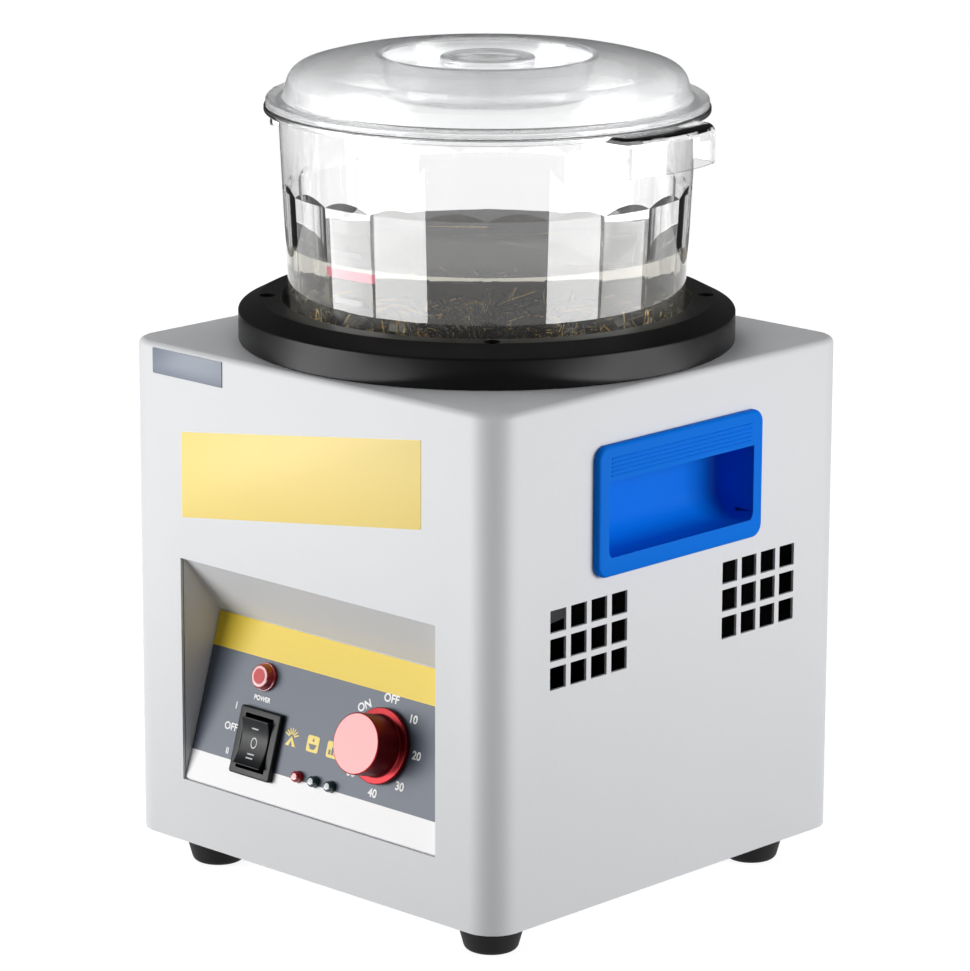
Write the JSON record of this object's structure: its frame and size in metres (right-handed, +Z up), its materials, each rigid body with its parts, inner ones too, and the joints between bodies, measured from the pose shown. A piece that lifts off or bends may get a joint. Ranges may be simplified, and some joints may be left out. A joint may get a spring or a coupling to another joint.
{
  "type": "magnetic tumbler",
  "caption": "Bench magnetic tumbler: sheet-metal cabinet with a sloping control panel and a motor-driven magnet disc under a clear lidded bowl that lifts out.",
  "frame": {"origin": "on the bench surface under the middle of the cabinet", "axes": "+Z up; the control panel faces -Y; +X is the machine's right side as its user sees it"},
  "size_m": [0.237, 0.2432, 0.3755],
  "materials": {
    "silver_coat": "light silver-grey powder coat, fine texture",
    "zinc_plate": "bright zinc plating",
    "steel": "bare steel",
    "motor_iron": "black enamelled iron",
    "cast_alloy": "plain cast alloy",
    "nickel": "nickel plating",
    "brass": "plain brass",
    "black_rubber": "matte black",
    "black_plastic": "satin black",
    "blue_plastic": "bright blue, moulded",
    "printed_sheet": "slate, white and yellow print",
    "red_anodised": "red anodised",
    "red_lens": "clear red",
    "dark_green_lens": "unlit dark green",
    "clear_plastic": "clear, polished",
    "circuit_board": "green solder mask"
  },
  "bodies": {
    "housing": {"housing_shell": "silver_coat", "recess_tray": "silver_coat", "base_plate": "zinc_plate", "foot_screw_front_left": "zinc_plate", "foot_screw_front_right": "zinc_plate", "foot_screw_rear_left": "zinc_plate", "foot_screw_rear_right": "zinc_plate", "standoff_1": "zinc_plate", "standoff_2": "zinc_plate", "standoff_3": "zinc_plate", "standoff_4": "zinc_plate", "foot_front_left": "black_rubber", "foot_front_right": "black_rubber", "foot_rear_left": "black_rubber", "foot_rear_right": "black_rubber", "handle_right": "blue_plastic", "handle_left": "blue_plastic", "control_overlay": "printed_sheet", "timer_body": "black_plastic", "switch_body": "black_plastic", "lamp_holder": "black_plastic", "bowl_seat": "black_plastic", "board_carrier": "black_plastic", "capacitor_clip": "black_plastic", "power_inlet": "black_plastic", "timer_nut": "brass", "inlet_pin_line": "brass", "inlet_pin_neutral": "brass", "inlet_pin_earth": "brass", "seat_screw_1": "steel", "seat_screw_2": "steel", "seat_screw_3": "steel", "seat_screw_4": "steel", "motor_plate": "steel", "bearing_upper": "steel", "bearing_lower": "steel", "inlet_screw_1": "steel", "inlet_screw_2": "steel", "lamp_lens": "red_lens", "indicator_1": "red_lens", "indicator_2": "dark_green_lens", "indicator_3": "dark_green_lens", "motor_can": "motor_iron", "motor_bell_upper": "cast_alloy", "motor_bell_lower": "cast_alloy", "run_capacitor": "cast_alloy", "control_board": "circuit_board"},
    "rotor": {"rotor": "motor_iron", "magnet_disc": "cast_alloy", "magnet_1": "nickel", "magnet_2": "nickel", "magnet_3": "nickel", "magnet_4": "nickel", "cooling_fan": "black_plastic"},
    "timer_dial": {"timer_shaft": "steel", "timer_knob": "red_anodised"},
    "rocker": {"switch_rocker": "black_plastic"},
    "bowl": {"bowl": "clear_plastic"},
    "lid": {"lid": "clear_plastic"}
  },
  "joints": [
    {"name": "rotor_spin", "type": "hinge", "parent": "housing", "child": "rotor", "pos_m": [0, 0, 0.18], "axis": [0, 0, 1], "continuous": true},
    {"name": "timer_turn", "type": "hinge", "parent": "housing", "child": "timer_dial", "pos_m": [0.0355, -0.10192, 0.08414], "axis": [0, -0.9579, 0.2871], "range_deg": [-270, 45]},
    {"name": "switch_rock", "type": "hinge", "parent": "housing", "child": "rocker", "pos_m": [-0.0385, -0.10323, 0.0693], "axis": [1, 0, 0], "range_deg": [-10, 10]},
    {"name": "bowl_lift", "type": "slide", "parent": "housing", "child": "bowl", "axis": [0, 0, 1], "range_m": [0, 0.15]},
    {"name": "lid_lift", "type": "slide", "parent": "bowl", "child": "lid", "axis": [0, 0, 1], "range_m": [0, 0.12]}
  ]
}
